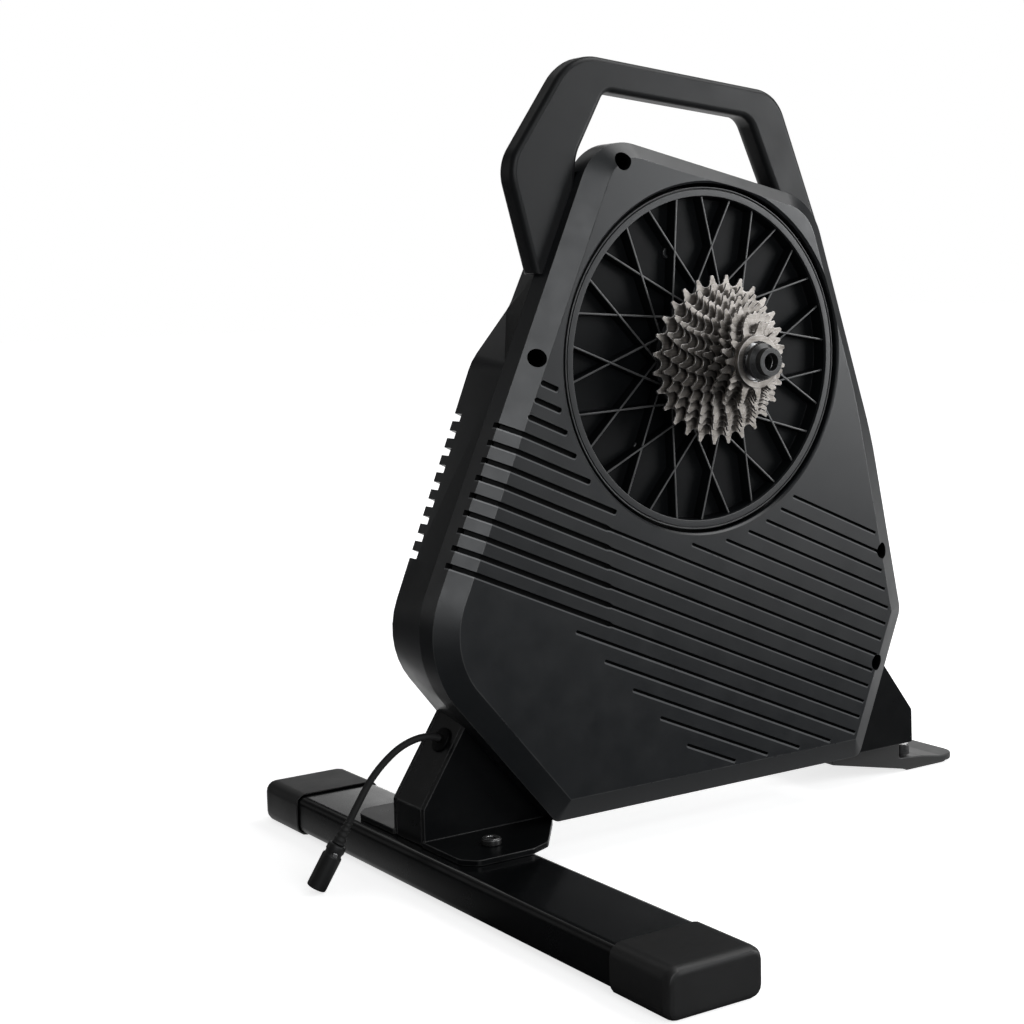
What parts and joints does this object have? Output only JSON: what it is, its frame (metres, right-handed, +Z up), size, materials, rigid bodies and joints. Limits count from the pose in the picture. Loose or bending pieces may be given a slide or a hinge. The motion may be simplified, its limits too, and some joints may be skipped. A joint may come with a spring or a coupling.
{
  "type": "direct-drive smart bike trainer",
  "caption": "Direct-drive indoor bike trainer: louvred covers round a flywheel, open ribbed drive pulley, cassette on a hollow axle, carry handle, rear cross bar and front foot.",
  "frame": {"origin": "centre of the footprint box on the floor, without the power cord", "axes": "+Z up, +X towards the front foot, which is the way the bike faces, and +Y from the drive side to the flywheel side, along the hub axle"},
  "size_m": [0.595, 0.506, 0.5605],
  "materials": {
    "cover_plastic": "satin moulded plastic",
    "handle_plastic": "satin moulded plastic, soft corners",
    "pulley_plastic": "glass-filled nylon",
    "chassis_paint": "black powder coat",
    "cap_plastic": "satin moulded plastic",
    "rubber": "matt",
    "cassette_steel": "nickel plated steel",
    "steel": "turned steel",
    "black_steel": "blackened steel",
    "cast_iron": "turned cast iron",
    "copper": "enamelled copper winding",
    "board": "solder mask"
  },
  "bodies": {
    "chassis": {"axle_end_cap_drive_side": "black_steel", "axle_end_cap_flywheel_side": "black_steel", "bar_bolt_far": "black_steel", "bar_bolt_near": "black_steel", "bar_end_cap_far": "cap_plastic", "bar_end_cap_near": "cap_plastic", "base_bar": "chassis_paint", "brake_coil_1": "copper", "brake_coil_2": "copper", "brake_coil_3": "copper", "brake_coil_4": "copper", "brake_coil_5": "copper", "brake_coil_6": "copper", "brake_stator": "steel", "cable_grommet": "rubber", "carry_handle": "handle_plastic", "chassis_plate_drive_side": "chassis_paint", "chassis_plate_flywheel_side": "chassis_paint", "chassis_spacer_1": "steel", "chassis_spacer_2": "steel", "chassis_spacer_3": "steel", "control_board": "board", "cord_strain_relief": "rubber", "drive_belt": "rubber", "drive_side_cover": "cover_plastic", "flywheel_bearing_far": "steel", "flywheel_bearing_near": "steel", "flywheel_side_cover": "cover_plastic", "foot_bolt": "black_steel", "freehub_bearing_far": "steel", "freehub_bearing_near": "steel", "front_cross_plate": "chassis_paint", "front_foot": "cap_plastic", "front_foot_pad": "rubber", "hub_axle": "steel", "hub_bearing_far": "steel", "hub_bearing_near": "steel", "idler_arm": "black_steel", "power_connector": "cap_plastic", "power_cord": "rubber", "rear_web": "chassis_paint", "toe_bolt": "black_steel"},
    "pulley": {"drive_pulley": "pulley_plastic"},
    "cassette": {"freehub_body": "black_steel", "sprocket_11_tooth": "cassette_steel", "sprocket_12_tooth": "cassette_steel", "sprocket_13_tooth": "cassette_steel", "sprocket_14_tooth": "cassette_steel", "sprocket_15_tooth": "cassette_steel", "sprocket_17_tooth": "cassette_steel", "sprocket_19_tooth": "cassette_steel", "sprocket_21_tooth": "cassette_steel", "sprocket_23_tooth": "cassette_steel", "sprocket_25_tooth": "cassette_steel", "sprocket_28_tooth": "cassette_steel", "cassette_lockring": "cassette_steel"},
    "flywheel": {"flywheel": "cast_iron", "flywheel_shaft": "steel", "flywheel_pulley": "steel"},
    "idler": {"belt_idler": "steel"}
  },
  "joints": [
    {"name": "flywheel_spin", "type": "hinge", "parent": "chassis", "child": "flywheel", "pos_m": [-0.04715, 0, 0.1825], "axis": [0, 1, 0], "continuous": true},
    {"name": "pulley_spin", "type": "hinge", "parent": "chassis", "child": "pulley", "pos_m": [-0.02715, 0, 0.3505], "axis": [0, 1, 0], "continuous": true},
    {"name": "cassette_spin", "type": "hinge", "parent": "chassis", "child": "cassette", "pos_m": [-0.02715, 0, 0.3505], "axis": [0, 1, 0], "continuous": true},
    {"name": "idler_spin", "type": "hinge", "parent": "chassis", "child": "idler", "pos_m": [-0.11244, 0, 0.22801], "axis": [0, 1, 0], "continuous": true}
  ],
  "couplings": [
    {"joint": "pulley_spin", "follows": "flywheel_spin", "ratio": 0.11017},
    {"joint": "idler_spin", "follows": "flywheel_spin", "ratio": -0.86667}
  ]
}
